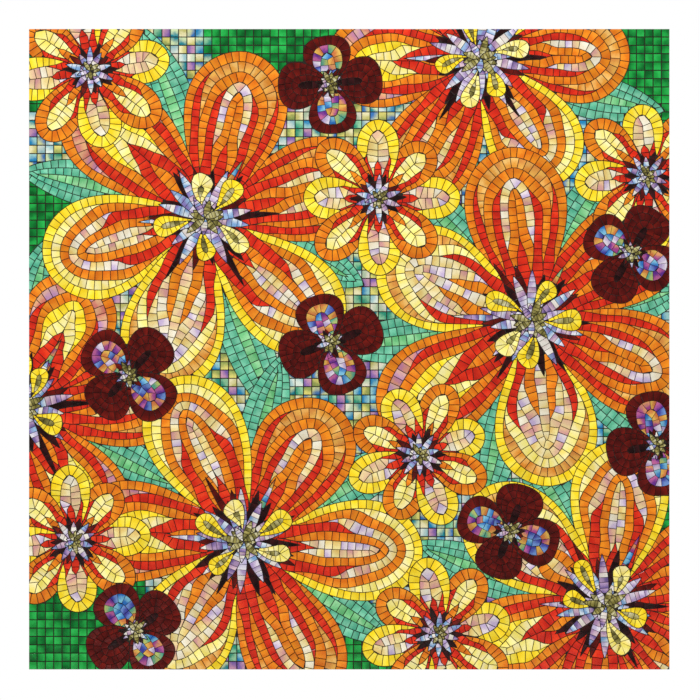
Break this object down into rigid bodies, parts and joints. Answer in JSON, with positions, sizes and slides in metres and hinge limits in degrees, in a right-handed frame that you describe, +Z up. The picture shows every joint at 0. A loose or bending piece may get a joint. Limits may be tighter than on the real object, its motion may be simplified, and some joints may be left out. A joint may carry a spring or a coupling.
{
  "type": "mosaic panel",
  "caption": "Square wall panel of glass mosaic with large orange and yellow flowers, small dark flowers and leaves on a green and iridescent ground.",
  "frame": {"origin": "centre of the flat back face, which lies against the wall", "axes": "+Y is the back face's outward normal, towards the wall, so the mosaic face looks along -Y; +X is to the viewer's right and +Z is up"},
  "size_m": [1, 0.019, 1],
  "materials": {
    "cement_board": "matte, with a woven scrim in its faces",
    "mortar": "matte, fine-grained",
    "petal_glass": "opaque glossy glass in red, orange, yellow, cream and pearl",
    "heart_glass": "opaque pearly glass with dark red and yellow shards",
    "middle_flower_glass": "opaque glossy glass in yellow, cream, orange and red",
    "dark_flower_glass": "opaque glossy wine red glass with iridescent insets",
    "leaf_glass": "opaque glass in aqua and light green",
    "ground_glass": "opaque emerald and iridescent blue, green and lilac glass"
  },
  "bodies": {
    "root": {"backing_board": "cement_board", "ground": "ground_glass", "ground_2": "ground_glass", "ground_3": "ground_glass", "ground_4": "ground_glass", "ground_5": "ground_glass", "ground_6": "ground_glass", "ground_7": "ground_glass", "ground_8": "ground_glass", "ground_9": "ground_glass", "ground_10": "ground_glass", "ground_11": "ground_glass", "ground_12": "ground_glass", "ground_13": "ground_glass", "ground_14": "ground_glass", "ground_15": "ground_glass", "large_flower_1_heart": "heart_glass", "large_flower_1_petals": "petal_glass", "large_flower_2_heart": "heart_glass", "large_flower_2_petals": "petal_glass", "large_flower_3_heart": "heart_glass", "large_flower_3_petals": "petal_glass", "large_flower_4_heart": "heart_glass", "large_flower_4_petals": "petal_glass", "large_flower_5_heart": "heart_glass", "large_flower_5_petals": "petal_glass", "large_flower_6_heart": "heart_glass", "large_flower_6_petals": "petal_glass", "leaf_1": "leaf_glass", "leaf_2": "leaf_glass", "leaf_3": "leaf_glass", "leaf_4": "leaf_glass", "leaf_5": "leaf_glass", "leaf_6": "leaf_glass", "leaf_7": "leaf_glass", "leaf_8": "leaf_glass", "leaf_9": "leaf_glass", "leaf_10": "leaf_glass", "leaf_11": "leaf_glass", "leaf_12": "leaf_glass", "leaf_13": "leaf_glass", "leaf_14": "leaf_glass", "leaf_15": "leaf_glass", "leaf_16": "leaf_glass", "leaf_17": "leaf_glass", "leaf_18": "leaf_glass", "middle_flower_1": "middle_flower_glass", "middle_flower_2": "middle_flower_glass", "middle_flower_3": "middle_flower_glass", "middle_flower_4": "middle_flower_glass", "middle_flower_5": "middle_flower_glass", "middle_flower_6": "middle_flower_glass", "mortar_bed": "mortar", "small_flower_1": "dark_flower_glass", "small_flower_2": "dark_flower_glass", "small_flower_3": "dark_flower_glass", "small_flower_4": "dark_flower_glass", "small_flower_5": "dark_flower_glass", "small_flower_6": "dark_flower_glass", "small_flower_7": "dark_flower_glass"}
  },
  "joints": []
}
